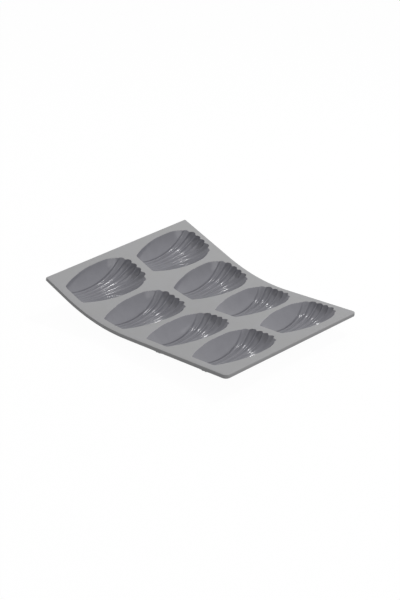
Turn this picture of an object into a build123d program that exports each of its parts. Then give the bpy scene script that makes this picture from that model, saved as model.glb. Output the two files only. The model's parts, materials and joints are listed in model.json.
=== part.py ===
"""Flexible madeleine mould: four rows of two shell-shaped cups in one bent sheet.

Lengths are in millimetres. Each row of the sheet and each cup is a solid of its own, and a
narrow strip of sheet between the rows is where the mould flexes.
"""
from build123d import *
from math import asin, atan, cos, hypot, pi, radians, sin
import os

# Sheet, whose length and width follow from the cups and the margins round them
sheet_thickness = 3.4
left_corner_radius = 1.0
right_corner_radius = 4.0
left_margin = 6.7
right_margin = 8.4
near_margin = 7.5
far_margin = 6.1

# Curl of the sheet, whose straight lines run at an angle to the rows
curl_deg = 24.6
curl_skew_deg = 11.35
curl_radius = 165.0
curl_start = 59.3
right_fall_deg = 1.1

# Cups in the sheet, with the gaps between their rims
row_count = 4
column_count = 2
row_gap = 5.5
column_gap = 8.8

# One cup, its axis level with the middle of its length
cup_length = 76.8
cup_width = 44.6
cup_wall = 1.8
axis_height = 11.4
axis_slope = 0.16
end_wall_lean_deg = 14.0

# Rim of a cup from the narrow end to the middle notch, as shares of its length and half width
rim_shares = [(0.0, 0.516), (0.22, 0.815), (0.45, 0.97), (0.63, 1.0), (0.78, 0.95), (0.89, 0.79), (0.975, 0.352)]
rim_stations = 13
lead_in_share = 0.06
lead_out_share = 0.016
lead_in_radius_share = 0.80
lead_out_radius_share = 0.86

# Ridges of a cup, whose outermost pair fans out towards the wide end
fan_narrow_share = 0.36
fan_wide_share = 0.95
fan_power = 2.5
ridge_shares = [-1.0, -0.70, -0.36, 0.0, 0.36, 0.70, 1.0]
widest_ridge_share = 0.97
widest_ridge_power = 8
groove_shares = [0.14, 0.26, 0.26, 0.26, 0.26, 0.14]

# Flexing strips between the rows
strip_width = 4.4

# Stance on the table, with the low cups of the middle rows touching
stance_tip_deg = -0.22
stance_lean_deg = -3.85

# Overruns of the cutting shapes
cut_overrun = 40.0


# Pitches of the cups and size of the flat sheet
row_pitch = cup_width + row_gap
column_pitch = cup_length + column_gap
sheet_length = left_margin + row_count * row_pitch - row_gap + right_margin
sheet_width = near_margin + column_count * column_pitch - column_gap + far_margin

# The bent sheet
curl_end = curl_start - radians(curl_deg) * curl_radius
left_fall_deg = curl_deg + right_fall_deg
reach = hypot(sheet_length, sheet_width) / 2 + cut_overrun


def bent_point(along, drop=0.0):
    """Point of the bent section, `along` the top from the middle and `drop` under the top."""
    flat_in = min(max(along, -curl_start), -curl_end)
    fall = radians(left_fall_deg) - (flat_in + curl_start) / curl_radius
    start_fall = radians(left_fall_deg)
    x = -curl_start * cos(start_fall) + curl_radius * (sin(start_fall) - sin(fall))
    z = curl_start * sin(start_fall) - curl_radius * (cos(fall) - cos(start_fall))
    x += (along - flat_in) * cos(fall)
    z -= (along - flat_in) * sin(fall)
    return x - drop * sin(fall), z - drop * cos(fall), fall


def sheet_place(from_left, from_near, drop=0.0):
    """Point of the sheet and its frame's two directions, from distances on the flat sheet."""
    skew = radians(curl_skew_deg)
    lengthwise = from_left - sheet_length / 2
    crosswise = from_near - sheet_width / 2
    along = lengthwise * cos(skew) - crosswise * sin(skew)
    across = lengthwise * sin(skew) + crosswise * cos(skew)
    x, z, fall = bent_point(along, drop)
    row_way = Vector(cos(fall) * cos(skew), sin(skew), -sin(fall) * cos(skew))
    normal = Vector(sin(fall), 0, cos(fall))
    return Vector(x, across, z), row_way, normal


def bent_curve(drop):
    """Edges of the bent section at one depth under the top."""
    marks = [-reach, -curl_start, -(curl_start + curl_end) / 2, -curl_end, reach]
    points = [(x, 0, z) for x, z, _ in (bent_point(mark, drop) for mark in marks)]
    return [
        Line(points[0], points[1]),
        ThreePointArc(points[1], points[2], points[3]),
        Line(points[3], points[4]),
    ]


def bent_slab(top_drop, bottom_drop):
    """Everything between two depths of the bent sheet, far wider than the sheet."""
    upper = bent_curve(top_drop)
    lower = bent_curve(bottom_drop)
    sides = [Line(upper[0] @ 0, lower[0] @ 0), Line(upper[-1] @ 1, lower[-1] @ 1)]
    face = make_face(upper + lower + sides)
    return extrude(face, amount=reach, dir=(0, 1, 0), both=True)


def sheet_outline():
    """Upright block inside the edges of the bent sheet, its right corners rounded, too long at the left."""
    steps = 8
    near = []
    far = []
    for step in range(-1, steps + 1):
        from_left = sheet_length * step / steps
        near.append(sheet_place(from_left, 0)[0])
        far.append(sheet_place(from_left, sheet_width)[0])
    near = [(point.X, point.Y) for point in near]
    far = [(point.X, point.Y) for point in far]
    edges = [Spline(near), Line(near[-1], far[-1]), Spline(far), Line(far[0], near[0])]
    block = extrude(make_face(edges), amount=reach, both=True)
    right_corners = block.edges().filter_by(Axis.Z).sort_by(Axis.X)[-2:]
    return fillet(right_corners, right_corner_radius)


def left_end():
    """Block beyond the sheet's left edge, which is cut square to the sheet."""
    middle, row_way, normal = sheet_place(0, sheet_width / 2, sheet_thickness / 2)
    plane = Plane(origin=middle, x_dir=row_way, z_dir=normal)
    return plane * Box(reach, 2 * reach, 2 * cut_overrun, align=(Align.MAX, Align.CENTER, Align.CENTER))


def bent_sheet():
    """The whole sheet without its cups, its left corners rounded."""
    whole = (bent_slab(0, sheet_thickness) & sheet_outline()) - left_end()
    corners = [sheet_place(0, side, sheet_thickness / 2)[0] for side in (0, sheet_width)]
    left_corners = []
    for edge in whole.edges():
        away = min((edge @ 0.5 - corner).length for corner in corners)
        if away < sheet_thickness / 4:
            left_corners.append(edge)
    return fillet(left_corners, left_corner_radius)


# One cup
def profile_points():
    """Place along the cup's axis and radius about it, for each station of the rim table."""
    slope = atan(axis_slope)
    rim = Spline([(cup_length * along, cup_width / 2 * half) for along, half in rim_shares])
    points = []
    for step in range(rim_stations):
        from_end, half, _ = rim @ (step / (rim_stations - 1))
        along = from_end - cup_length / 2
        along_share = from_end / cup_length
        place = along * cos(slope) - axis_height * sin(slope)
        radius = hypot(half, along * sin(slope) + axis_height * cos(slope))
        points.append((place, radius, along_share))
    return points


def offset_profile(points, skin):
    """Move each station of a profile outwards by the thickness of the wall."""
    moved = []
    for index, (place, radius, share) in enumerate(points):
        before = points[max(index - 1, 0)]
        after = points[min(index + 1, len(points) - 1)]
        run = after[0] - before[0]
        rise = after[1] - before[1]
        span = hypot(run, rise)
        moved.append((place - skin * rise / span, radius + skin * run / span, share))
    return moved


def fluted_section(place, radius, along_share):
    """Cross-section of a cup: two smooth sides with six grooves and seven ridges between."""
    slope = atan(axis_slope)
    fan_share = fan_narrow_share + (fan_wide_share - fan_narrow_share) * along_share**fan_power
    fan = cup_width / 2 * fan_share
    over_limit = fan / radius / widest_ridge_share
    spread = fan / radius / (1 + over_limit**widest_ridge_power) ** (1 / widest_ridge_power)
    ridges = [asin(share * spread) for share in ridge_shares]
    angles = [-pi / 2] + ridges + [pi / 2]
    plane = Plane(
        origin=(0, place * cos(slope), axis_height + place * sin(slope)),
        x_dir=(1, 0, 0),
        z_dir=(0, cos(slope), sin(slope)),
    )
    edges = []
    for index, (first, last) in enumerate(zip(angles, angles[1:])):
        is_side = index in (0, len(angles) - 2)
        groove = 0 if is_side else groove_shares[index - 1] * radius * (last - first)
        middle = (first + last) / 2
        corners = [(first, radius), (middle, radius + groove), (last, radius)]
        points = [(size * sin(angle), size * cos(angle)) for angle, size in corners]
        edges.append(ThreePointArc(*points))
    edges.append(Line(edges[-1] @ 1, edges[0] @ 0))
    return plane * make_face(edges)


def cup_body(skin):
    """Solid of a cup's hollow, or of its outside where the wall's thickness is given."""
    points = profile_points()
    first_place, first_radius, first_share = points[0]
    last_place, last_radius, last_share = points[-1]
    lead_in = (first_place - cup_length * lead_in_share, first_radius * lead_in_radius_share, first_share)
    lead_out = (last_place + cup_length * lead_out_share, last_radius * lead_out_radius_share, last_share)
    stations = offset_profile([lead_in] + points + [lead_out], skin)
    body = loft([fluted_section(*station) for station in stations])
    lean = radians(end_wall_lean_deg)
    end_wall = Plane(
        origin=(0, -cup_length / 2 - skin / cos(lean), 0),
        x_dir=(1, 0, 0),
        z_dir=(0, -cos(lean), sin(lean)),
    )
    outside = end_wall * Box(
        2 * cup_width, 2 * cup_length, cup_length, align=(Align.CENTER, Align.CENTER, Align.MIN)
    )
    return body - outside


def cup_location(row, column):
    """Where a cup's own frame stands on the bent sheet."""
    from_left = left_margin + cup_width / 2 + row * row_pitch
    from_near = near_margin + cup_length / 2 + column * column_pitch
    point, row_way, normal = sheet_place(from_left, from_near)
    return Plane(origin=point, x_dir=row_way, z_dir=normal).location


# Rows and the strips between them
def gap_line(gap):
    """Two ends, under mid-thickness, of the line about which two rows fold."""
    from_left = left_margin + cup_width + row_gap / 2 + gap * row_pitch
    ends = [sheet_place(from_left, side, sheet_thickness / 2)[0] for side in (0, sheet_width)]
    middle = sheet_place(from_left, sheet_width / 2, sheet_thickness / 2)
    sag = middle[0] - (ends[0] + ends[1]) * 0.5
    return [end + sag * 0.5 for end in ends], middle[2]


def gap_block(gap, from_gap, to_gap):
    """Block over the sheet between two distances from a gap's fold line."""
    (near_end, far_end), normal = gap_line(gap)
    across = (far_end - near_end).normalized()
    row_way = across.cross(normal).normalized()
    middle = (near_end + far_end) * 0.5 + row_way * ((from_gap + to_gap) / 2)
    plane = Plane(origin=middle, x_dir=row_way, z_dir=row_way.cross(across))
    return plane * Box(to_gap - from_gap, 2 * reach, 2 * cut_overrun)


def row_web(sheet, row):
    """One row's stretch of the sheet, up to the flexing strips."""
    web = sheet
    if row > 0:
        web &= gap_block(row - 1, strip_width / 2, strip_width / 2 + reach)
    if row < row_count - 1:
        web &= gap_block(row, -strip_width / 2 - reach, -strip_width / 2)
    return web


column_names = ["near", "far"]
nodes = {}
sheet = bent_sheet()
hollow = cup_body(0)
shell = cup_body(cup_wall) - hollow
over_underside = bent_slab(-cut_overrun, sheet_thickness)
for row in range(row_count):
    web = row_web(sheet, row)
    for column in range(column_count):
        place = cup_location(row, column)
        web -= place * hollow
        nodes[f"cup_{row + 1}_{column_names[column]}"] = place * shell - over_underside
    nodes[f"row_{row + 1}_web"] = web
for gap in range(row_count - 1):
    strip = sheet & gap_block(gap, -strip_width / 2, strip_width / 2)
    nodes[f"flex_strip_{gap + 1}_{gap + 2}"] = strip

# Stand the mould on the table, its rows along X and its origin under its middle
stance = Rot(stance_tip_deg, stance_lean_deg, 0) * Rot(0, 0, -curl_skew_deg)
nodes = {name: stance * node for name, node in nodes.items()}
boxes = [node.bounding_box() for node in nodes.values()]
middle_x = (min(box.min.X for box in boxes) + max(box.max.X for box in boxes)) / 2
middle_y = (min(box.min.Y for box in boxes) + max(box.max.Y for box in boxes)) / 2
lowest = min(box.min.Z for box in boxes)
standing = Pos(-middle_x, -middle_y, -lowest)

os.makedirs("parts", exist_ok=True)
for name, node in nodes.items():
    export_step(standing * node, f"parts/{name}.step")

# Fold lines, for whoever joins the rows
for gap in range(row_count - 1):
    ends = [(standing * stance * Pos(*end)).position for end in gap_line(gap)[0]]
    print(f"fold {gap + 1}", [tuple(round(value, 3) for value in end) for end in ends])
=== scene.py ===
"""Flexible madeleine mould, in metres: skins of the sheet, its fluted cups and its flexing strips.

Every piece is worked out on the flat sheet and then laid on the bent one, so that neighbouring
skins meet along shared points. On the flat sheet x runs along the order of the rows from the left
edge, y along the cups from the near edge, and z is the height over the sheet's top.
"""

import json
import logging
from collections.abc import Iterable, Sequence
from dataclasses import dataclass, field
from enum import Enum
from math import atan, ceil, cos, pi, radians, sin, tan

import bmesh
import bpy
import numpy as np
from mathutils import Matrix, Vector
from mathutils.geometry import delaunay_2d_cdt


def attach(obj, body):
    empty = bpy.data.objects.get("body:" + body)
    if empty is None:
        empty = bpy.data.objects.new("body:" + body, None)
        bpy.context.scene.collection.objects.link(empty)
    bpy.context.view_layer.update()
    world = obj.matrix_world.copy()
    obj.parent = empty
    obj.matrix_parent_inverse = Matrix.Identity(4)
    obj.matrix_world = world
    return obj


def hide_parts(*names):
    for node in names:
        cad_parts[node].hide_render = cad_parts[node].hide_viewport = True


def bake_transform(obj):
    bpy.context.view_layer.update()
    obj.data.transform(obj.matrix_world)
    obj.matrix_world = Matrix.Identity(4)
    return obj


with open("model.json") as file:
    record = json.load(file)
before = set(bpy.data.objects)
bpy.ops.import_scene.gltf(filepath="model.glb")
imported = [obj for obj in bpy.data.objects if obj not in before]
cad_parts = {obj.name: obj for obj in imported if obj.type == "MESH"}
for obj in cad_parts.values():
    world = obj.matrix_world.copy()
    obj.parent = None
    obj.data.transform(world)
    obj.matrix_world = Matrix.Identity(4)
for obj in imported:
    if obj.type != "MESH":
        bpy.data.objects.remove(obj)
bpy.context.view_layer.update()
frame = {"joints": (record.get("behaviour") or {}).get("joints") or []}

log = logging.getLogger("mould")

WHITE = (1.0, 1.0, 1.0, 1.0)
BLACK = (0.0, 0.0, 0.0, 1.0)


# Sizes of the mould
@dataclass(frozen=True)
class SheetPlan:
    """The flat sheet, with the places of its cups and of the strips between its rows."""

    cup_length: float = 0.0768
    cup_width: float = 0.0446
    row_gap: float = 0.0055
    column_gap: float = 0.0088
    left_margin: float = 0.0067
    right_margin: float = 0.0084
    near_margin: float = 0.0075
    far_margin: float = 0.0061
    rows: int = 4
    columns: tuple[str, ...] = ("near", "far")
    thickness: float = 0.0034
    left_corner_radius: float = 0.001
    right_corner_radius: float = 0.004
    edge_round: float = 0.0005
    strip_half_width: float = 0.0020

    @property
    def row_pitch(self) -> float:
        """Distance from one row of cups to the next."""
        return self.cup_width + self.row_gap

    @property
    def length(self) -> float:
        """Length of the flat sheet, across the rows."""
        return self.left_margin + self.rows * self.row_pitch - self.row_gap + self.right_margin

    @property
    def width(self) -> float:
        """Width of the flat sheet, along the cups."""
        cups = len(self.columns) * (self.cup_length + self.column_gap) - self.column_gap
        return self.near_margin + cups + self.far_margin

    def cup_centre(self, row: int, column: int) -> tuple[float, float]:
        """Middle of a cup's length on the flat sheet.

        Args:
            row: The row, counted from zero at the curled end.
            column: The column, counted from zero at the near edge.

        Returns:
            Its x and y.
        """
        across = self.left_margin + self.cup_width / 2 + row * self.row_pitch
        along = self.near_margin + self.cup_length / 2 + column * (self.cup_length + self.column_gap)
        return across, along

    def fold(self, gap: int) -> float:
        """Distance of a fold line from the left edge."""
        return self.left_margin + self.cup_width + self.row_gap / 2 + gap * self.row_pitch


@dataclass(frozen=True)
class Bend:
    """The bend that the sheet lies in: flat, curved, flat, with its straight lines askew."""

    plan: SheetPlan
    curl: float = radians(24.6)
    skew: float = radians(11.35)
    radius: float = 0.165
    start: float = 0.0593
    right_fall: float = radians(1.1)
    tip: float = radians(-0.22)
    lean: float = radians(-3.85)
    tangent_step: float = 1e-5

    def section(self, along: np.ndarray, height: np.ndarray) -> tuple[np.ndarray, ...]:
        """Points of the bent section.

        Args:
            along: Distances along the sheet's top from its middle, square to the straight lines.
            height: Heights over the sheet's top.

        Returns:
            The points' x and z, and the fall of the sheet there as an angle.
        """
        left_fall = self.curl + self.right_fall
        end = self.start - self.curl * self.radius
        within = np.clip(along, -self.start, -end)
        fall = left_fall - (within + self.start) / self.radius
        beyond = along - within
        x = self.radius * (sin(left_fall) - np.sin(fall)) - self.start * cos(left_fall)
        z = self.start * sin(left_fall) - self.radius * (np.cos(fall) - cos(left_fall))
        x = x + beyond * np.cos(fall) + height * np.sin(fall)
        z = z - beyond * np.sin(fall) + height * np.cos(fall)
        return x, z, fall

    def turn(self) -> np.ndarray:
        """Rotation from the bent section's own frame to the model's."""
        tilt = Matrix.Rotation(self.tip, 3, "X") @ Matrix.Rotation(self.lean, 3, "Y")
        return np.array(tilt @ Matrix.Rotation(-self.skew, 3, "Z"))

    def unplaced(self, flat: np.ndarray) -> np.ndarray:
        """Points of the flat sheet on the bent one, turned to the model's frame but not moved.

        Args:
            flat: Points on the flat sheet.

        Returns:
            The turned points.
        """
        lengthwise = flat[..., 0] - self.plan.length / 2
        crosswise = flat[..., 1] - self.plan.width / 2
        along = lengthwise * cos(self.skew) - crosswise * sin(self.skew)
        across = lengthwise * sin(self.skew) + crosswise * cos(self.skew)
        x, z, _ = self.section(along, flat[..., 2])
        return np.stack([x, across, z], axis=-1) @ self.turn().T

    def place(self) -> np.ndarray:
        """Where the unplaced points' origin lies in the model, from the last fold's hinge.

        Returns:
            The move from the unplaced points to the model's.
        """
        last = self.plan.rows - 2
        name = f"fold_{last + 1}_{last + 2}"
        hinge = next(joint for joint in frame["joints"] if joint["name"] == name)
        flat = np.array([self.plan.fold(last), self.plan.width / 2, -self.plan.thickness / 2])
        return np.array(hinge["pos_m"]) - self.unplaced(flat)

    def lay(self, flat: np.ndarray) -> np.ndarray:
        """Points of the model for points of the flat sheet."""
        return self.unplaced(flat) + self.place()

    def lay_rigid(self, centre: tuple[float, float], flat: np.ndarray) -> np.ndarray:
        """Points of the model for flat points that keep their shape, as a stiff cup does.

        Args:
            centre: The cup's place on the flat sheet, where it touches the bent one.
            flat: Points on the flat sheet.

        Returns:
            The points, moved with the tangent plane at the centre.
        """
        spot = np.array([*centre, 0.0])
        corners = spot + np.vstack([np.zeros(3), self.tangent_step * np.eye(3)])
        laid = self.lay(corners)
        axes = (laid[1:] - laid[0]) / self.tangent_step
        return laid[0] + (flat - spot) @ axes


# Mesh making
SMALLEST_SQUARE = 1e-18


def smooth_through(knots: Sequence[tuple[float, float]], at: np.ndarray) -> np.ndarray:
    """Values of a smooth curve through knots, straight beyond its two ends.

    Args:
        knots: The knots' places, in rising order, and their values.
        at: The places at which the curve is read.

    Returns:
        The curve's value at each place.
    """
    places = np.array([place for place, _ in knots])
    values = np.array([value for _, value in knots])
    slopes = np.gradient(values, places)
    index = np.clip(np.searchsorted(places, at) - 1, 0, len(places) - 2)
    span = places[index + 1] - places[index]
    share = (at - places[index]) / span
    left = values[index] * (1 + 2 * share) * (1 - share) ** 2
    left = left + slopes[index] * span * share * (1 - share) ** 2
    right = values[index + 1] * share**2 * (3 - 2 * share)
    right = right + slopes[index + 1] * span * share**2 * (share - 1)
    before = values[0] + slopes[0] * (at - places[0])
    after = values[-1] + slopes[-1] * (at - places[-1])
    return np.where(at < places[0], before, np.where(at > places[-1], after, left + right))


def rounded_max(first: np.ndarray, second: np.ndarray | float, reach: float) -> np.ndarray:
    """The higher of two heights, with their meeting rounded over a reach."""
    near = np.maximum(reach - np.abs(first - second), 0)
    return np.maximum(first, second) + near**2 / (4 * reach)


def rounded_min(first: np.ndarray, second: np.ndarray | float, reach: float) -> np.ndarray:
    """The lower of two heights, with their meeting rounded over a reach."""
    return -rounded_max(-first, -np.asarray(second), reach)


def inside_loop(points: np.ndarray, loop: np.ndarray) -> np.ndarray:
    """Which plan points lie inside a closed loop.

    Args:
        points: The plan points.
        loop: The loop's corners in order.

    Returns:
        True for each point inside.
    """
    following = np.roll(loop, -1, axis=0)
    x = points[:, None, 0]
    y = points[:, None, 1]
    straddles = (loop[None, :, 1] > y) != (following[None, :, 1] > y)
    rise = np.where(following[:, 1] == loop[:, 1], 1.0, following[:, 1] - loop[:, 1])
    crossing = loop[:, 0] + (y - loop[:, 1]) * (following[:, 0] - loop[:, 0]) / rise
    return (straddles & (x < crossing)).sum(axis=1) % 2 == 1


def distance_to_loop(points: np.ndarray, loop: np.ndarray) -> np.ndarray:
    """Distance of each plan point from the nearest side of a closed loop.

    Args:
        points: The plan points.
        loop: The loop's corners in order.

    Returns:
        Each point's distance.
    """
    side = np.roll(loop, -1, axis=0) - loop
    offset = points[:, None] - loop[None]
    square = np.maximum((side**2).sum(axis=1), SMALLEST_SQUARE)
    share = np.clip((offset * side).sum(axis=2) / square, 0, 1)
    return np.linalg.norm(offset - share[..., None] * side, axis=2).min(axis=1)


class Draft:
    """Points and faces gathered for one piece."""

    merge_distance = 2e-6
    sharp_angle = radians(50)

    def __init__(self) -> None:
        """Start with nothing."""
        self.points: list[np.ndarray] = []
        self.faces: list[tuple[int, ...]] = []
        self.slots: list[int] = []
        self.count = 0

    def add(
        self,
        points: np.ndarray,
        faces: Iterable[tuple[int, ...]],
        slots: Sequence[int] | None = None,
    ) -> None:
        """Add points and the faces between them.

        Args:
            points: Points of the model, in a row or a grid.
            faces: Faces as indices into these points.
            slots: Each face's material slot, or none where all have the first.
        """
        shifted = [tuple(int(index) + self.count for index in face) for face in faces]
        self.points.append(np.asarray(points, float).reshape(-1, 3))
        self.faces += shifted
        self.slots += [0] * len(shifted) if slots is None else slots
        self.count += len(self.points[-1])

    def add_grid(self, points: np.ndarray, slots: np.ndarray) -> None:
        """Add a grid of points, and a face in each cell.

        Args:
            points: The grid's points.
            slots: Each cell's material slot.
        """
        rows, columns = points.shape[:2]
        index = np.arange(rows * columns).reshape(rows, columns)
        corners = [index[:-1, :-1], index[:-1, 1:], index[1:, 1:], index[1:, :-1]]
        faces = np.stack(corners, axis=-1).reshape(-1, 4)
        self.add(points, faces, slots.ravel().tolist())

    def add_band(self, first: np.ndarray, second: np.ndarray) -> None:
        """Join two closed loops by a band.

        Args:
            first: The points of one loop.
            second: The points of the other, as many and in the same order.
        """
        count = len(first)
        faces = [(i, (i + 1) % count, (i + 1) % count + count, i + count) for i in range(count)]
        self.add(np.vstack([first, second]), faces)

    def make(self, name: str) -> bpy.types.Object:
        """Join shared points and make the object.

        Args:
            name: The piece's name.

        Returns:
            The new object, its mesh in the model's frame.
        """
        mesh = bpy.data.meshes.new(name)
        mesh.from_pydata(np.vstack(self.points).tolist(), [], self.faces)
        mesh.polygons.foreach_set("material_index", self.slots)
        form = bmesh.new()
        form.from_mesh(mesh)
        bmesh.ops.remove_doubles(form, verts=form.verts, dist=self.merge_distance)
        bmesh.ops.recalc_face_normals(form, faces=form.faces)
        form.to_mesh(mesh)
        open_edges = sum(1 for edge in form.edges if not edge.is_manifold)
        form.free()
        mesh.shade_smooth()
        mesh.set_sharp_from_angle(angle=self.sharp_angle)
        piece = bpy.data.objects.new(name, mesh)
        bpy.context.scene.collection.objects.link(piece)
        log.info("%s: %d faces, %d open edges", name, len(mesh.polygons), open_edges)
        return piece


# The fluted form of a cup
class Skin(Enum):
    """The two faces of a cup's wall."""

    INSIDE = 0
    OUTSIDE = 1


@dataclass(frozen=True)
class CupSkin:
    """One face of a cup's wall, as a grid about the cup's own middle on the flat sheet."""

    points: np.ndarray
    slots: np.ndarray
    loop: np.ndarray


@dataclass(frozen=True)
class Barrel:
    """The plain form of a cup, at many stations from its narrow end to its wide one.

    The place along the axis and the radius come with what a step out of the wall adds to each.
    The ridges are angles about the axis, and the growth is that of each groove's depth.
    """

    place: np.ndarray
    radius: np.ndarray
    out_place: np.ndarray
    out_radius: np.ndarray
    ridges: np.ndarray
    growth: np.ndarray


@dataclass(frozen=True)
class CupForm:
    """The shape of a cup: a fluted barrel about a leaning axis, cut by the sheet and an end wall.

    The half widths are squares, as shares of the square of the largest, so that they can go on
    below zero past the tip, where the barrel rises out of the sheet. The growth of the grooves
    is a factor on their depth, by the share of the cup's length.
    """

    length: float
    width: float
    thickness: float
    wall: float = 0.0018
    axis_height: float = 0.0114
    axis_slope: float = atan(0.16)
    end_lean: float = radians(14.0)
    half_square_shares: tuple[tuple[float, float], ...] = (
        (0.0, 0.266),
        (0.22, 0.664),
        (0.45, 0.941),
        (0.63, 1.0),
        (0.78, 0.9025),
        (0.89, 0.624),
        (0.975, 0.124),
        (0.991, -0.077),
    )
    fan_narrow_share: float = 0.36
    fan_wide_share: float = 0.95
    fan_power: float = 2.5
    fan_last_share: float = 1.05
    ridge_shares: tuple[float, ...] = (-1.0, -0.70, -0.36, 0.0, 0.36, 0.70, 1.0)
    widest_ridge_share: float = 0.97
    widest_ridge_power: float = 8.0
    groove_share: float = 0.26
    groove_growth: tuple[tuple[float, float], ...] = (
        (0.0, 0.6),
        (0.4, 1.0),
        (0.6, 1.0),
        (0.78, 1.3),
        (0.92, 1.45),
        (1.0, 1.4),
    )
    outer_groove_growth: tuple[tuple[float, float], ...] = (
        (0.0, 0.6),
        (0.3, 1.4),
        (0.62, 1.6),
        (0.78, 1.2),
        (0.92, 0.6),
        (1.0, 0.5),
    )
    arc_share: float = 0.26
    crest_share: float = 0.15
    rim_round: float = 0.0008
    inner_corner_round: float = 0.005
    hollow_slot: int = 0
    rim_slot: int = 1
    groove_steps: tuple[float, ...] = (0.0, 0.04, 0.09, 0.17, 0.30, 0.5, 0.70, 0.83, 0.91, 0.96)
    side_steps: tuple[float, ...] = (
        0.0, 0.12, 0.25, 0.38, 0.51, 0.63, 0.74, 0.83, 0.89, 0.93, 0.965, 1.0,
    )
    stations: int = 900
    narrow_overrun: float = 0.005
    wide_overrun: float = 0.00125
    least_square_radius: float = 1e-8
    fine_factor: int = 4
    wall_run: float = 0.0052
    wall_cells: int = 14
    wall_power: float = 1.5
    middle_cells: int = 24
    tip_run: float = 0.0024
    tip_cells: int = 9

    def level(self, skin: Skin) -> float:
        """Height at which a skin runs out into the sheet."""
        return 0.0 if skin is Skin.INSIDE else -self.thickness

    def offset(self, skin: Skin) -> float:
        """Distance of a skin from the inside."""
        return 0.0 if skin is Skin.INSIDE else self.wall

    def barrel(self, skin: Skin) -> Barrel:
        """The barrel behind one face of the wall.

        Args:
            skin: The face of the wall.

        Returns:
            The barrel, with one value a station in each of its lines.
        """
        narrow_end = -self.length / 2 - self.narrow_overrun
        wide_end = self.length / 2 + self.wide_overrun
        along = np.linspace(narrow_end, wide_end, self.stations)
        share = along / self.length + 0.5
        half_square = (self.width / 2) ** 2 * smooth_through(self.half_square_shares, share)
        over_axis = along * sin(self.axis_slope) + self.axis_height * cos(self.axis_slope)
        radius = np.sqrt(np.maximum(over_axis**2 + half_square, self.least_square_radius))
        place = along * cos(self.axis_slope) - self.axis_height * sin(self.axis_slope)
        slope = np.gradient(radius, place)
        stretch = np.sqrt(1 + slope**2)
        opened = np.clip(share, 0, self.fan_last_share) ** self.fan_power
        fan_share = self.fan_narrow_share + (self.fan_wide_share - self.fan_narrow_share) * opened
        place = place - self.offset(skin) * slope / stretch
        radius = radius + self.offset(skin) / stretch
        sine = self.width / 2 * fan_share / radius
        power = self.widest_ridge_power
        sine = sine / (1 + (sine / self.widest_ridge_share) ** power) ** (1 / power)
        ridges = np.arcsin(np.array(self.ridge_shares)[:, None] * sine)
        inner = smooth_through(self.groove_growth, np.clip(share, 0, 1))
        outer = smooth_through(self.outer_groove_growth, np.clip(share, 0, 1))
        grooves = len(self.ridge_shares) - 1
        return Barrel(
            place=place,
            radius=radius,
            out_place=-slope / stretch,
            out_radius=1 / stretch,
            ridges=ridges,
            growth=np.array([outer] + [inner] * (grooves - 2) + [outer]),
        )

    def groove(self, step: float) -> float:
        """Share of a groove's depth, with the crests of its two ridges rounded.

        Args:
            step: Share of the groove's width.

        Returns:
            Zero on a ridge, one in the middle.
        """
        arc_radius = (0.5**2 + self.arc_share**2) / (2 * self.arc_share)

        def arc(from_ridge: float) -> float:
            """Depth of the plain arc at a share of the width from the nearer ridge."""
            across = min(from_ridge, 0.5) - 0.5
            return (arc_radius**2 - across**2) ** 0.5

        from_ridge = min(step, 1 - step)
        soft = (from_ridge**2 + self.crest_share**2) ** 0.5
        return (arc(soft) - arc(self.crest_share)) / (arc(0.5) - arc(self.crest_share))

    def line(
        self,
        barrel: Barrel,
        angle: np.ndarray,
        depth: np.ndarray | float = 0.0,
    ) -> np.ndarray:
        """Points along the barrel, at one angle and depth for each station.

        Args:
            barrel: The barrel.
            angle: Angles about the axis, from the barrel's lowest line.
            depth: Distances out of the barrel.

        Returns:
            One point a station.
        """
        slope = self.axis_slope
        radius = barrel.radius + depth * barrel.out_radius
        place = barrel.place + depth * barrel.out_place
        down = radius * np.cos(angle)
        x = radius * np.sin(angle)
        y = place * cos(slope) + down * sin(slope)
        z = self.axis_height + place * sin(slope) - down * cos(slope)
        return np.stack([x, y, z], axis=-1)

    def columns(self, skin: Skin) -> list[np.ndarray]:
        """Lines of the barrel from end to end, side by side.

        Args:
            skin: The face of the wall.

        Returns:
            The lines, from one side of the rim to the other.
        """
        barrel = self.barrel(skin)
        radius = barrel.radius
        ridges = barrel.ridges
        top = self.level(skin) + self.rim_round
        over = self.axis_height + barrel.place * sin(self.axis_slope) - top
        edge = np.arccos(np.clip(over / (radius * cos(self.axis_slope)), -1, 1))
        above_ridge = np.maximum(edge - ridges[-1], 0)
        steps = self.side_steps[:0:-1]
        side = [self.line(barrel, ridges[-1] + step * above_ridge) for step in steps]
        fan = []
        for growth, first, last in zip(barrel.growth, ridges, ridges[1:]):
            for step in self.groove_steps:
                depth = self.groove_share * growth * self.groove(step) * radius * (last - first)
                fan.append(self.line(barrel, first + step * (last - first), depth))
        fan.append(self.line(barrel, ridges[-1]))
        mirror = np.array([-1.0, 1.0, 1.0])
        return [line * mirror for line in side] + fan + side[::-1]

    def sheet_station(self, line: np.ndarray, skin: Skin) -> float:
        """Where a line comes up to the sheet at the wide end.

        Args:
            line: The barrel's line from end to end.
            skin: The face of the wall.

        Returns:
            The station, as a fractional index.
        """
        top = self.level(skin) + self.rim_round
        half = len(line) // 2
        above = np.flatnonzero(line[half:, 2] >= top)[0] + half
        low, high = line[above - 1, 2], line[above, 2]
        return above - 1 + (top - low) / (high - low)

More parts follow.
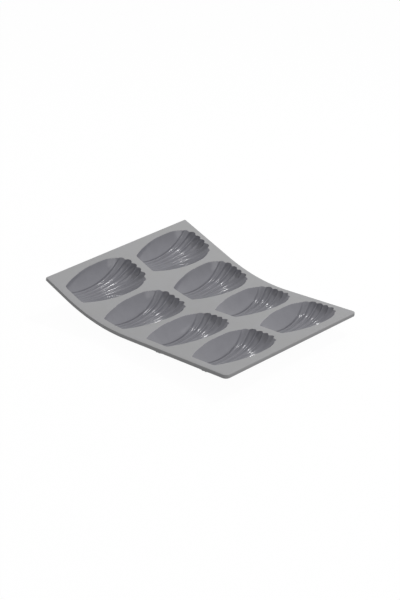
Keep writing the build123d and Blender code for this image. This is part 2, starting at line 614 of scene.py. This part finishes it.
    def trimmed(self, line: np.ndarray, skin: Skin, end: float) -> np.ndarray:
        """One column cut to the hollow and divided into its steps.

        Args:
            line: The barrel's line from end to end.
            skin: The face of the wall.
            end: The station at which the column ends, as a fractional index.

        Returns:
            The column's points from the narrow end to the wide one.
        """
        top = self.level(skin) + self.rim_round
        begin = -self.length / 2 - self.offset(skin) / cos(self.end_lean) - top * tan(self.end_lean)
        stations = np.arange(len(line), dtype=float)
        half = len(line) // 2
        start = np.interp(begin, line[:half, 1], stations[:half])
        fine = np.linspace(start, end, self.fine_factor * len(line))
        dense = np.stack([np.interp(fine, stations, line[:, axis]) for axis in range(3)], axis=-1)
        run = np.concatenate([[0.0], np.cumsum(np.linalg.norm(np.diff(dense, axis=0), axis=1))])
        wall = self.wall_run * np.linspace(0, 1, self.wall_cells + 1)[:-1] ** self.wall_power
        middle = np.linspace(self.wall_run, run[-1] - self.tip_run, self.middle_cells + 1)[:-1]
        tip = run[-1] - self.tip_run * np.linspace(1, 0, self.tip_cells + 1)
        steps = np.concatenate([wall, middle, tip])
        return np.stack([np.interp(steps, run, dense[:, axis]) for axis in range(3)], axis=-1)

    def skin(self, skin: Skin) -> CupSkin:
        """The whole face of the wall, its rim rounded into the sheet and its end wall in place.

        Args:
            skin: The face of the wall.

        Returns:
            Its grid, with each cell's slot and its edge.
        """
        lines = self.columns(skin)
        fan_start = len(self.side_steps) - 1
        fan_stop = len(lines) - fan_start
        side_station = self.sheet_station(lines[fan_stop - 1], skin)
        grid = []
        for index, line in enumerate(lines):
            in_fan = fan_start <= index < fan_stop
            station = self.sheet_station(line, skin) if in_fan else side_station
            grid.append(self.trimmed(line, skin, station))
        points = np.stack(grid, axis=1)
        points[-1, :fan_start] = points[-1, fan_start]
        points[-1, fan_stop:] = points[-1, fan_stop - 1]
        from_end = points[..., 1] + self.length / 2 + self.offset(skin) / cos(self.end_lean)
        end_wall = -from_end / tan(self.end_lean)
        corner = self.inner_corner_round + self.offset(skin)
        raw = rounded_max(points[..., 2], end_wall, corner)
        points[..., 2] = rounded_min(raw, self.level(skin), self.rim_round)
        deep = (raw[:-1, :-1] + raw[1:, 1:]) / 2 < self.level(skin)
        wide_edge = points[-1, fan_start:fan_stop][::-1]
        loop = np.concatenate([points[0], points[1:-1, -1], wide_edge, points[1:-1, 0][::-1]])
        # Faces below the sheet take the hollow's colour, darkened in part as painted shade; the
        # rim's faces take the sheet's.
        slots = np.where(deep, self.hollow_slot, self.rim_slot)
        return CupSkin(points, slots, loop)


# Finishes, with painted shade in the colour of the cups' hollows
class Sock:
    """One value in a material, on which arithmetic adds Math nodes."""

    def __init__(self, bench: "Bench", socket: bpy.types.NodeSocket) -> None:
        """Wrap a node's output."""
        self.bench = bench
        self.socket = socket

    def _math(self, operation: str, first: "Sock | float", second: "Sock | float") -> "Sock":
        """Add a Math node."""
        return self.bench.node("ShaderNodeMath", {"operation": operation}, {0: first, 1: second})

    def __add__(self, other: "Sock | float") -> "Sock":
        """Sum of two values."""
        return self._math("ADD", self, other)

    def __radd__(self, other: float) -> "Sock":
        """Sum of two values."""
        return self._math("ADD", other, self)

    def __sub__(self, other: "Sock | float") -> "Sock":
        """Difference of two values."""
        return self._math("SUBTRACT", self, other)

    def __rsub__(self, other: float) -> "Sock":
        """Difference of two values."""
        return self._math("SUBTRACT", other, self)

    def __mul__(self, other: "Sock | float") -> "Sock":
        """Product of two values."""
        return self._math("MULTIPLY", self, other)

    def __rmul__(self, other: float) -> "Sock":
        """Product of two values."""
        return self._math("MULTIPLY", other, self)

    def __or__(self, other: "Sock") -> "Sock":
        """The larger of two values, which is either of two masks."""
        return self._math("MAXIMUM", self, other)


class Bench:
    """The node tree of one material or world."""

    def __init__(self, tree: bpy.types.NodeTree) -> None:
        """Empty the tree."""
        tree.nodes.clear()
        self.tree = tree

    def node(
        self,
        kind: str,
        settings: dict[str, object] | None = None,
        inputs: dict[str | int, object] | None = None,
        output: str | int = 0,
    ) -> Sock:
        """Add a node.

        Args:
            kind: Blender's type name.
            settings: Properties that are set first; "stops" sets a ramp's places and colours.
            inputs: Values or links of its sockets, by name or number.
            output: The socket that is returned.

        Returns:
            The node's output.
        """
        node = self.tree.nodes.new(kind)
        for name, value in (settings or {}).items():
            if name == "stops":
                self._set_stops(node.color_ramp.elements, value)
            else:
                setattr(node, name, value)
        for name, value in (inputs or {}).items():
            if isinstance(value, Sock):
                self.tree.links.new(value.socket, node.inputs[name])
            else:
                node.inputs[name].default_value = value
        return Sock(self, node.outputs[output] if node.outputs else None)

    @staticmethod
    def _set_stops(
        elements: bpy.types.ColorRampElements,
        stops: Sequence[tuple[float, Sequence[float]]],
    ) -> None:
        """Give a ramp its stops.

        Args:
            elements: The ramp's stops as Blender keeps them.
            stops: Each stop's place and colour.
        """
        while len(elements) < len(stops):
            elements.new(1.0)
        for element, (place, colour) in zip(elements, stops):
            element.position = place
            element.color = colour

    def noise(self, size: float, detail: float, roughness: float = 0.5) -> Sock:
        """Noise about the middle value 0.5.

        Args:
            size: Size of its features, in metres.
            detail: How many finer layers it has.
            roughness: How strong the finer layers are.

        Returns:
            The noise.
        """
        place = self.node("ShaderNodeTexCoord", output="Object")
        inputs = {"Vector": place, "Scale": 1 / size, "Detail": detail, "Roughness": roughness}
        return self.node("ShaderNodeTexNoise", {}, inputs)

    def mix(self, factor: Sock, first: Sequence[float], second: Sequence[float]) -> Sock:
        """Mix of two colours, whose sockets are numbers 6 and 7, and number 2 for the result."""
        settings = {"data_type": "RGBA"}
        return self.node("ShaderNodeMix", settings, {0: factor, 6: first, 7: second}, 2)

    def ramp(self, value: Sock, low: float, high: float) -> Sock:
        """Black below one value, white above another, even between."""
        stops = [(low, BLACK), (high, WHITE)]
        return self.node("ShaderNodeValToRGB", {"stops": stops}, {0: value})


def grey(level: float, blue: float = 0.0) -> tuple[float, float, float, float]:
    """Colour of a nearly neutral grey, from its level as a screen shows it.

    Args:
        level: Level out of 255.
        blue: How far blue is over the level, and twice what red and green are each under it.

    Returns:
        The linear colour with its alpha.
    """
    levels = (level - blue / 2, level - blue / 2, level + blue)
    linear = [((value / 255 + 0.055) / 1.055) ** 2.4 for value in levels]
    return (*linear, 1.0)


@dataclass(frozen=True)
class SiliconeFinish:
    """Moulded silicone: its colour, its faint mottling and the texture of the tool."""

    name: str
    colour: tuple[float, float, float, float]
    mottled_colour: tuple[float, float, float, float]
    mottle_size: float
    fleck_size: float
    fleck_share: float
    roughness: float
    roughness_swing: float
    grain_size: float
    grain_depth: float
    ripple_size: float
    ripple_depth: float
    mottle_detail: float = 3.0
    mottle_low: float = 0.32
    mottle_high: float = 0.68
    fleck_detail: float = 2.0
    fleck_roughness: float = 0.6
    grain_detail: float = 3.0
    grain_roughness: float = 0.65
    ripple_detail: float = 1.0
    refraction: float = 1.41

    def material(self) -> bpy.types.Material:
        """Make the material, or find the one already made.

        Returns:
            The material.
        """
        made = bpy.data.materials.get(self.name)
        if made:
            return made
        material = bpy.data.materials.new(self.name)
        material.use_nodes = True
        bench = Bench(material.node_tree)
        patches = bench.noise(self.mottle_size, self.mottle_detail)
        mottle = bench.ramp(patches, self.mottle_low, self.mottle_high)
        fleck = bench.noise(self.fleck_size, self.fleck_detail, self.fleck_roughness)
        blend = mottle * (1 - self.fleck_share) + fleck * self.fleck_share
        colour = bench.mix(blend, self.colour, self.mottled_colour)
        roughness = self.roughness + self.roughness_swing * (fleck + mottle - 1.0)
        grain = bench.noise(self.grain_size, self.grain_detail, self.grain_roughness)
        ripple = bench.noise(self.ripple_size, self.ripple_detail)
        height = grain * self.grain_depth + ripple * self.ripple_depth
        relief = {"Strength": 1.0, "Distance": 1.0, "Height": height}
        inputs = {
            "Base Color": colour,
            "Roughness": roughness,
            "Normal": bench.node("ShaderNodeBump", {}, relief),
            "IOR": self.refraction,
        }
        surface = bench.node("ShaderNodeBsdfPrincipled", {}, inputs)
        bench.node("ShaderNodeOutputMaterial", {}, {"Surface": surface})
        return material


SHEET_FINISH = SiliconeFinish(
    name="matte_moulded_silicone",
    colour=grey(155),
    mottled_colour=grey(161, 1.5),
    mottle_size=0.018,
    fleck_size=0.0009,
    fleck_share=0.4,
    roughness=0.58,
    roughness_swing=0.08,
    grain_size=0.0005,
    grain_depth=0.00003,
    ripple_size=0.006,
    ripple_depth=0.00004,
)
# Glossy, faintly bluish silicone of the cups' hollows; its colour is darker than the sheet's partly
# as painted shade of the hollows.
CUP_FINISH_AND_SHADE = SiliconeFinish(
    name="glossy_silicone_and_painted_shade",
    colour=grey(129, 4),
    mottled_colour=grey(135, 4),
    mottle_size=0.012,
    fleck_size=0.0012,
    fleck_share=0.25,
    roughness=0.17,
    roughness_swing=0.03,
    grain_size=0.0009,
    grain_depth=0.0000015,
    ripple_size=0.008,
    ripple_depth=0.000012,
)


# The mould's pieces
@dataclass
class FlutedCup:
    """One cup, from its rim down to its fluted bottom, with both faces of its wall."""

    bend: Bend
    form: CupForm
    row: int
    column: int
    settle_depth: float = 0.008
    loops: dict[Skin, np.ndarray] = field(default_factory=dict)

    @property
    def node(self) -> str:
        """Name of the solid that it stands for."""
        return f"cup_{self.row + 1}_{self.bend.plan.columns[self.column]}"

    def laid(self, points: np.ndarray, skin: Skin) -> np.ndarray:
        """Lay the cup's own points on the model, bent at the sheet and stiff deeper down.

        Args:
            points: Points about the cup's middle on the flat sheet.
            skin: The face of the wall that they are on.

        Returns:
            The points of the model.
        """
        centre = self.bend.plan.cup_centre(self.row, self.column)
        flat = points + np.array([*centre, 0.0])
        level = flat.copy()
        level[..., 2] = self.form.level(skin)
        share = np.clip((level[..., 2] - flat[..., 2]) / self.settle_depth, 0, 1)
        hold = 1 - share * share * (3 - 2 * share)
        shift = self.bend.lay(level) - self.bend.lay_rigid(centre, level)
        return self.bend.lay_rigid(centre, flat) + hold[..., None] * shift

    def build(self) -> bpy.types.Object:
        """Make the cup's mesh, and keep its two edges for the sheet round it.

        Returns:
            The new piece.
        """
        centre = np.array(self.bend.plan.cup_centre(self.row, self.column))
        draft = Draft()
        edges = []
        for skin in Skin:
            made = self.form.skin(skin)
            draft.add_grid(self.laid(made.points, skin), made.slots)
            edges.append(self.laid(made.loop, skin))
            self.loops[skin] = made.loop[:, :2] + centre
        draft.add_band(*edges)
        return draft.make(f"{self.node}_skin")

    def dress(self, piece: bpy.types.Object) -> None:
        """Give the cup its finishes, the hollow's colour darkened in part as painted shade, and its
        place among the bodies.

        Args:
            piece: The cup's piece.
        """
        # The hollow's faces get the darker glossy colour, part of which is painted shade.
        piece.data.materials.append(CUP_FINISH_AND_SHADE.material())
        piece.data.materials.append(SHEET_FINISH.material())
        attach(piece, f"row_{self.row + 1}")
        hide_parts(self.node)


Spot = tuple[float, float]


@dataclass
class OutlineWalk:
    """Spots round a stretch of the sheet, each with the way inwards from its edge."""

    corner_cells: int
    spots: list[tuple[float, float, float, float]] = field(default_factory=list)

    def side(self, first: Spot, last: Spot, inward: Spot, step: float, skip: int = 0) -> None:
        """Add a straight side without its last spot.

        Args:
            first: Where the side starts.
            last: Where it ends.
            inward: The way inwards, or zeros where the sheet goes on.
            step: The largest distance from one spot to the next.
            skip: How many spots at the start are there already.
        """
        length = max(abs(last[0] - first[0]), abs(last[1] - first[1]))
        cells = ceil(length / step)
        for index in range(skip, cells):
            share = index / cells
            x = first[0] + share * (last[0] - first[0])
            y = first[1] + share * (last[1] - first[1])
            self.spots.append((x, y, *inward))

    def corner(self, centre: Spot, quarter: int, radius: float, inward: Spot) -> None:
        """Add a rounded corner without its last spot, or a square one.

        Args:
            centre: Centre of the rounding.
            quarter: Quarter turns from the right near corner.
            radius: The rounding's radius, or zero for a square corner.
            inward: The way inwards from a square corner.
        """
        if not radius:
            self.spots.append((*centre, *inward))
            return
        for index in range(self.corner_cells):
            angle = pi / 2 * (quarter - 1 + index / self.corner_cells)
            x = centre[0] + radius * cos(angle)
            y = centre[1] + radius * sin(angle)
            self.spots.append((x, y, -cos(angle), -sin(angle)))


@dataclass
class SheetStretch:
    """A stretch of the sheet between two distances from the left edge, with holes for its cups."""

    bend: Bend
    start: float
    stop: float
    step_across: float = 0.0032
    step_along: float = 0.0032
    corner_cells: int = 6
    edge_cells: int = 4
    clearance_share: float = 0.45
    fill_scale: float = 1000.0
    fill_tolerance: float = 1e-6
    holes: list[dict[Skin, np.ndarray]] = field(default_factory=list)

    def outline(self) -> tuple[np.ndarray, np.ndarray]:
        """The stretch's outline on the flat sheet.

        Returns:
            The outline's spots, and the way inwards from its free edges at each.
        """
        plan = self.bend.plan
        free_start = self.start <= 0
        free_stop = self.stop >= plan.length
        begin = plan.left_corner_radius if free_start else 0.0
        finish = plan.right_corner_radius if free_stop else 0.0
        left = self.start + begin
        right = self.stop - finish
        high = plan.width
        walk = OutlineWalk(self.corner_cells)
        walk.side((left, 0), (right, 0), (0, 1), self.step_across)
        walk.corner((right, finish), 0, finish, (0, 1))
        inward = (-1, 0) if free_stop else (0, 0)
        skip = 0 if free_stop else 1
        walk.side((self.stop, finish), (self.stop, high - finish), inward, self.step_along, skip)
        walk.corner((right, high - finish), 1, finish, (0, -1))
        walk.side((right, high), (left, high), (0, -1), self.step_across, skip)
        walk.corner((left, high - begin), 2, begin, (0, -1))
        inward = (1, 0) if free_start else (0, 0)
        skip = 0 if free_start else 1
        walk.side((self.start, high - begin), (self.start, begin), inward, self.step_along, skip)
        if free_start:
            walk.corner((left, begin), 3, begin, (0, 1))
        table = np.array(walk.spots)
        return table[:, :2], table[:, 2:]

    def raised(self, plan_points: np.ndarray, height: float) -> np.ndarray:
        """Points of the model for plan points at one height."""
        flat = np.concatenate([plan_points, np.full((len(plan_points), 1), height)], axis=1)
        return self.bend.lay(flat)

    def add_face(
        self,
        draft: Draft,
        outline: np.ndarray,
        holes: list[np.ndarray],
        height: float,
    ) -> None:
        """Fill the outline round the holes with triangles at one height.

        Args:
            draft: The piece that the face is added to.
            outline: The face's outline on the flat sheet.
            holes: The edges of the cups in it.
            height: Height over the sheet's top.
        """
        lows = outline.min(axis=0)
        highs = outline.max(axis=0)
        cells_x = ceil((highs[0] - lows[0]) / self.step_across)
        cells_y = ceil((highs[1] - lows[1]) / self.step_along)
        x = np.linspace(lows[0], highs[0], cells_x + 1)[1:-1]
        y = np.linspace(lows[1], highs[1], cells_y + 1)[1:-1]
        inner = np.stack(np.meshgrid(x, y), axis=-1).reshape(-1, 2)
        inner = inner[inside_loop(inner, outline)]
        for hole in holes:
            inner = inner[~inside_loop(inner, hole)]
        clearance = self.clearance_share * min(self.step_across, self.step_along)
        loops = [outline, *holes]
        edges = []
        count = 0
        for loop in loops:
            inner = inner[distance_to_loop(inner, loop) > clearance]
            edges += [(count + i, count + (i + 1) % len(loop)) for i in range(len(loop))]
            count += len(loop)
        corners = [Vector(spot * self.fill_scale) for spot in np.vstack([*loops, inner])]
        made = delaunay_2d_cdt(corners, edges, [], 0, self.fill_tolerance)
        plan_points = np.array([tuple(point) for point in made[0]]) / self.fill_scale
        triangles = np.array(made[2])
        middles = plan_points[triangles].mean(axis=1)
        kept = inside_loop(middles, outline)
        for hole in holes:
            kept &= ~inside_loop(middles, hole)
        draft.add(self.raised(plan_points, height), triangles[kept])

    def build(self, name: str) -> bpy.types.Object:
        """Make the stretch's mesh, closed all round.

        Args:
            name: The piece's name.

        Returns:
            The new piece.
        """
        plan = self.bend.plan
        radius = plan.edge_round
        outline, inward = self.outline()
        angles = [pi / 2 * index / self.edge_cells for index in range(self.edge_cells + 1)]
        upper = [(radius * (1 - sin(angle)), radius * (1 - cos(angle))) for angle in angles]
        profile = upper + [(inset, plan.thickness - drop) for inset, drop in reversed(upper)]
        loops = [self.raised(outline + inset * inward, -drop) for inset, drop in profile]
        draft = Draft()
        for first, second in zip(loops, loops[1:]):
            draft.add_band(first, second)
        face = outline + radius * inward
        self.add_face(draft, face, [hole[Skin.INSIDE] for hole in self.holes], 0.0)
        self.add_face(draft, face, [hole[Skin.OUTSIDE] for hole in self.holes], -plan.thickness)
        for hole in self.holes:
            top = self.raised(hole[Skin.INSIDE], 0.0)
            bottom = self.raised(hole[Skin.OUTSIDE], -plan.thickness)
            draft.add_band(top, bottom)
        return draft.make(name)


@dataclass
class RowOfCups:
    """One row of the mould: its cups and the sheet round them."""

    bend: Bend
    form: CupForm
    row: int

    def build(self) -> None:
        """Make and dress the row's cups and its stretch of the sheet."""
        plan = self.bend.plan
        holes = []
        for column in range(len(plan.columns)):
            cup = FlutedCup(self.bend, self.form, self.row, column)
            piece = cup.build()
            cup.dress(piece)
            holes.append(cup.loops)
        half = plan.strip_half_width
        start = plan.fold(self.row - 1) + half if self.row else 0.0
        stop = plan.fold(self.row) - half if self.row < plan.rows - 1 else plan.length
        stretch = SheetStretch(self.bend, start, stop, holes=holes)
        self.dress(stretch.build(f"row_{self.row + 1}_sheet"))

    def dress(self, piece: bpy.types.Object) -> None:
        """Give the sheet its finish and its body.

        Args:
            piece: The sheet's piece.
        """
        piece.data.materials.append(SHEET_FINISH.material())
        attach(piece, f"row_{self.row + 1}")
        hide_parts(f"row_{self.row + 1}_web")


@dataclass
class FlexingStrip:
    """The narrow strip of sheet that bends between two rows."""

    bend: Bend
    gap: int
    cells: int = 10
    steady_share: float = 0.1

    def build(self) -> None:
        """Make the strip in its place between two rows."""
        plan = self.bend.plan
        fold = plan.fold(self.gap)
        half = plan.strip_half_width
        step = 2 * half / self.cells
        stretch = SheetStretch(self.bend, fold - half, fold + half, step_across=step)
        piece = stretch.build(f"flex_strip_{self.gap + 1}_{self.gap + 2}_skin")
        piece.data.materials.append(SHEET_FINISH.material())
        steady = half * (1 - 2 * self.steady_share)
        middle = (plan.width / 2, -plan.thickness / 2)
        flat = np.array([(fold + side * steady, *middle) for side in (-1, 1)])
        start, end = self.bend.lay(flat)
        f"row_{self.gap + 1}"
        f"row_{self.gap + 2}"
        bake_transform(piece)
        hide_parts(f"flex_strip_{self.gap + 1}_{self.gap + 2}")


@dataclass
class MadeleineMould:
    """The whole mould, row by row, with the strips between."""

    plan: SheetPlan = field(default_factory=SheetPlan)

    def build(self) -> None:
        """Make every piece."""
        bend = Bend(self.plan)
        form = CupForm(self.plan.cup_length, self.plan.cup_width, self.plan.thickness)
        for row in range(self.plan.rows):
            RowOfCups(bend, form, row).build()
        for gap in range(self.plan.rows - 1):
            FlexingStrip(bend, gap).build()


# The studio
def direction(azimuth: float, elevation: float) -> Vector:
    """Unit vector away from the mould, its azimuth counted from the near side to the right."""
    level = cos(elevation)
    return Vector((sin(azimuth) * level, -cos(azimuth) * level, sin(elevation)))


@dataclass(frozen=True)
class SoftLamp:
    """A square lamp that shines at the mould from one side."""

    name: str
    azimuth: float
    elevation: float
    distance: float
    size: float
    level: float

    def build(self, aim: Vector) -> None:
        """Make the lamp, its power set for a level on a surface that faces it.

        Args:
            aim: The place that it shines at.
        """
        away = direction(self.azimuth, self.elevation)
        data = bpy.data.lights.new(self.name, "AREA")
        data.shape = "SQUARE"
        data.size = self.size
        data.energy = self.level * pi * pi * self.distance**2
        lamp = bpy.data.objects.new(self.name, data)
        lamp.location = aim + away * self.distance
        lamp.rotation_euler = away.to_track_quat("Z", "Y").to_euler()
        bpy.context.scene.collection.objects.link(lamp)


@dataclass(frozen=True)
class Studio:
    """Pale floor, plain soft light and the camera."""

    aim: tuple[float, float, float] = (-0.00306, 0.00212, 0.02103)
    azimuth: float = radians(40.40)
    elevation: float = radians(23.61)
    roll: float = radians(3.35)
    distance: float = 0.898
    lens: float = 61.4
    floor_size: float = 6.0
    sky_level: float = 0.55
    floor_white_share: float = 0.9
    floor_white_level: float = 1.08
    floor_paint: float = 0.3
    lamps: tuple[SoftLamp, ...] = (
        SoftLamp("key", radians(168), radians(63), 1.6, 0.13, 0.36),
        SoftLamp("side", radians(95), radians(15), 1.6, 0.8, 0.15),
    )

    def build_camera(self) -> None:
        """Make the camera, turned as the photograph's was."""
        away = direction(self.azimuth, self.elevation)
        right = Vector((cos(self.azimuth), sin(self.azimuth), 0))
        up = away.cross(right)
        rolled_right = right * cos(self.roll) + up * sin(self.roll)
        rolled_up = up * cos(self.roll) - right * sin(self.roll)
        data = bpy.data.cameras.new("camera")
        data.lens = self.lens
        camera = bpy.data.objects.new("camera", data)
        camera.matrix_world = Matrix((rolled_right, rolled_up, away)).transposed().to_4x4()
        camera.location = Vector(self.aim) + away * self.distance
        bpy.context.scene.collection.objects.link(camera)
        bpy.context.scene.camera = camera

    @staticmethod
    def seen(bench: Bench) -> Sock:
        """Tell the rays that are seen from those that light.

        Args:
            bench: The node tree.

        Returns:
            One for rays from the camera, in a reflection or through glass, else zero.
        """
        kinds = ("Camera", "Glossy", "Transmission")
        rays = [bench.node("ShaderNodeLightPath", output=f"Is {kind} Ray") for kind in kinds]
        return rays[0] | rays[1] | rays[2]

    def build_floor(self) -> None:
        """Make the floor, white where it is seen and with a soft shadow."""
        half = self.floor_size / 2
        corners = [(-half, -half, 0), (half, -half, 0), (half, half, 0), (-half, half, 0)]
        mesh = bpy.data.meshes.new("floor")
        mesh.from_pydata(corners, [], [(0, 1, 2, 3)])
        floor = bpy.data.objects.new("floor", mesh)
        bpy.context.scene.collection.objects.link(floor)
        material = bpy.data.materials.new("floor")
        material.use_nodes = True
        bench = Bench(material.node_tree)
        paint = bench.node("ShaderNodeBsdfDiffuse", {}, {"Color": (*[self.floor_paint] * 3, 1.0)})
        white = {"Color": WHITE, "Strength": self.floor_white_level}
        glow = bench.node("ShaderNodeEmission", {}, white)
        share = self.seen(bench) * self.floor_white_share
        surface = bench.node("ShaderNodeMixShader", {}, {0: share, 1: paint, 2: glow})
        bench.node("ShaderNodeOutputMaterial", {}, {"Surface": surface})
        mesh.materials.append(material)

    def build_sky(self) -> None:
        """Make the world: white where it is seen, and a plain level where it lights."""
        world = bpy.data.worlds.new("sky")
        world.use_nodes = True
        bpy.context.scene.world = world
        bench = Bench(world.node_tree)
        level = self.sky_level + (1 - self.sky_level) * self.seen(bench)
        surface = bench.node("ShaderNodeBackground", {}, {"Color": WHITE, "Strength": level})
        bench.node("ShaderNodeOutputWorld", {}, {"Surface": surface})

    def build(self) -> None:
        """Make the floor, the sky, the lamps and the camera."""
        self.build_floor()
        self.build_sky()
        for lamp in self.lamps:
            lamp.build(Vector(self.aim))
        self.build_camera()
        bpy.context.scene.view_settings.view_transform = "Standard"


def main() -> None:
    """Build the mould and the studio."""
    logging.basicConfig(level=logging.INFO, format="%(message)s")
    MadeleineMould().build()
    Studio().build()
    bpy.context.view_layer.update()


if __name__ == "__main__":
    main()
